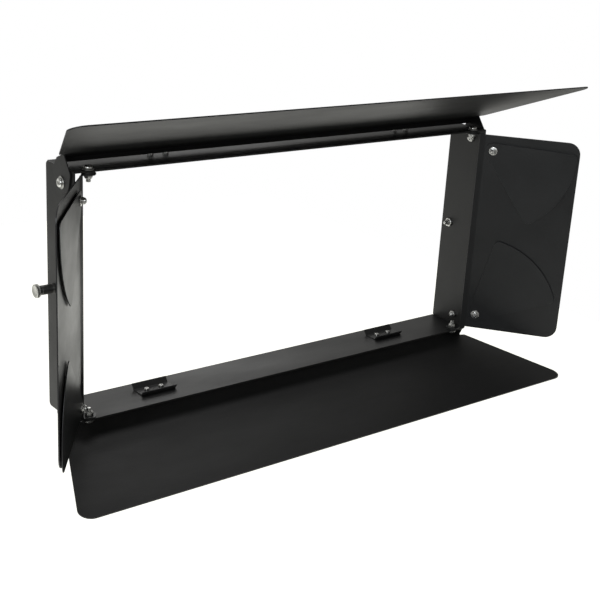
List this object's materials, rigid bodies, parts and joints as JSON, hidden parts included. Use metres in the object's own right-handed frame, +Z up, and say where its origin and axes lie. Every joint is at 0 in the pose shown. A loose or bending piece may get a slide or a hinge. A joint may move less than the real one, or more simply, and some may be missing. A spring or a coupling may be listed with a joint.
{
  "type": "led panel light barndoor set",
  "caption": "Folding black sheet-metal barndoor frame for a rectangular LED panel light, with hinged leaves, swing-out corner fans and sprung locking pins.",
  "frame": {"origin": "centre of the rear seat plane, midway between the walls and rails", "axes": "+X to the right, +Z up, the lamp side faces +Y and the open front faces -Y"},
  "size_m": [0.8424, 0.2188, 0.4398],
  "materials": {
    "frame_powder": "fine satin black powder coat on folded aluminium sheet",
    "leaf_powder": "fine satin black powder coat on folded aluminium sheet",
    "zinc": "bright zinc-plated turned steel",
    "nylon": "black moulded nylon",
    "spring_steel": "drawn spring wire"
  },
  "bodies": {
    "frame": {"top_rail": "frame_powder", "bottom_rail": "frame_powder", "left_wall": "frame_powder", "right_wall": "frame_powder", "retaining_clips": "frame_powder", "clip_screws": "zinc", "clip_nuts": "zinc", "arm_screws": "zinc", "arm_outer_washers": "zinc", "arm_friction_washers": "nylon", "arm_locknuts": "zinc", "pivot_bolts": "zinc", "pivot_spring_washers": "zinc", "pivot_spacers": "nylon", "pivot_nuts": "zinc", "plunger_barrels": "zinc", "plunger_caps": "zinc", "plunger_nuts": "zinc", "left_plunger_spring": "spring_steel", "right_plunger_spring": "spring_steel"},
    "top_leaf": {"top_leaf": "leaf_powder"},
    "bottom_leaf": {"bottom_leaf": "leaf_powder"},
    "left_leaf": {"left_leaf": "leaf_powder", "left_fan_screws": "zinc", "left_fan_nuts": "zinc", "left_fan_washers": "nylon"},
    "right_leaf": {"right_leaf": "leaf_powder", "right_fan_screws": "zinc", "right_fan_nuts": "zinc", "right_fan_washers": "nylon"},
    "left_top_fan": {"left_top_fan": "leaf_powder"},
    "left_bottom_fan": {"left_bottom_fan": "leaf_powder"},
    "right_top_fan": {"right_top_fan": "leaf_powder"},
    "right_bottom_fan": {"right_bottom_fan": "leaf_powder"},
    "left_plunger": {"left_plunger_pin": "zinc", "left_plunger_knob": "zinc"},
    "right_plunger": {"right_plunger_pin": "zinc", "right_plunger_knob": "zinc"}
  },
  "joints": [
    {"name": "top_leaf_hinge", "type": "hinge", "parent": "frame", "child": "top_leaf", "pos_m": [0, -0.045, 0.141], "axis": [-1, 0, 0], "range_deg": [-29, 2]},
    {"name": "bottom_leaf_hinge", "type": "hinge", "parent": "frame", "child": "bottom_leaf", "pos_m": [0, -0.045, -0.141], "axis": [1, 0, 0], "range_deg": [-15.5, 15.5]},
    {"name": "left_leaf_hinge", "type": "hinge", "parent": "frame", "child": "left_leaf", "pos_m": [-0.318, -0.0635, 0], "axis": [0, 0, -1], "range_deg": [-127, 9.5]},
    {"name": "right_leaf_hinge", "type": "hinge", "parent": "frame", "child": "right_leaf", "pos_m": [0.318, -0.0635, 0], "axis": [0, 0, 1], "range_deg": [-127, 9.5]},
    {"name": "left_top_fan_pivot", "type": "hinge", "parent": "left_leaf", "child": "left_top_fan", "pos_m": [-0.34332, -0.08566, 0.129], "axis": [-0.7934, 0.6088, 0], "range_deg": [-20, 36]},
    {"name": "left_bottom_fan_pivot", "type": "hinge", "parent": "left_leaf", "child": "left_bottom_fan", "pos_m": [-0.34332, -0.08566, -0.129], "axis": [0.7934, -0.6088, 0], "range_deg": [-30, 12]},
    {"name": "right_top_fan_pivot", "type": "hinge", "parent": "right_leaf", "child": "right_top_fan", "pos_m": [0.34332, -0.08566, 0.129], "axis": [-0.7934, -0.6088, 0], "range_deg": [-20, 36]},
    {"name": "right_bottom_fan_pivot", "type": "hinge", "parent": "right_leaf", "child": "right_bottom_fan", "pos_m": [0.34332, -0.08566, -0.129], "axis": [0.7934, 0.6088, 0], "range_deg": [0, 42]},
    {"name": "left_plunger_slide", "type": "slide", "parent": "frame", "child": "left_plunger", "axis": [-1, 0, 0], "range_m": [0, 0.0075], "stiffness_N_per_m": 600, "springref_m": -0.004, "deforming": ["left_plunger_spring"]},
    {"name": "right_plunger_slide", "type": "slide", "parent": "frame", "child": "right_plunger", "axis": [1, 0, 0], "range_m": [0, 0.0075], "stiffness_N_per_m": 600, "springref_m": -0.004, "deforming": ["right_plunger_spring"]}
  ]
}
